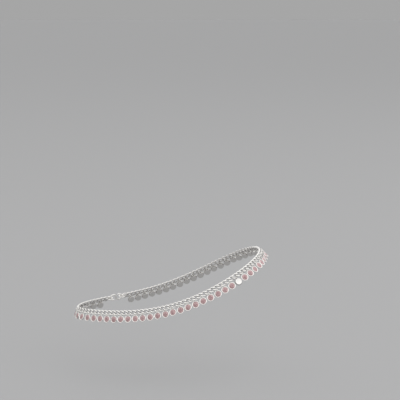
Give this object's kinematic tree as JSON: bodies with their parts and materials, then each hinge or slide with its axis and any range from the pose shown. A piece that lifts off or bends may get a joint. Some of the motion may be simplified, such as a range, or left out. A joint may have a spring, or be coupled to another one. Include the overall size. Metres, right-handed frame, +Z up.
{
  "type": "anklet",
  "caption": "Silver anklet in its worn form: a flat curb chain round the ankle, fringed along its lower edge with small stone-set cup drops and closed by a plain S-hook.",
  "frame": {"origin": "middle of the ankle's opening, half-way between heel and instep along the chain's middle line", "axes": "+X towards the toes, +Z up the leg, -Y the side that the picture shows"},
  "size_m": [0.1012, 0.0652, 0.0357],
  "materials": {
    "bright_silver": "polished sterling silver, a little softened by wear",
    "plain_silver": "drawn silver wire, plainly polished",
    "pink_stone": "faceted dusty-pink stone with a foiled back"
  },
  "bodies": {
    "root": {"chain_with_drops": "bright_silver", "s_hook": "plain_silver"}
  },
  "joints": []
}
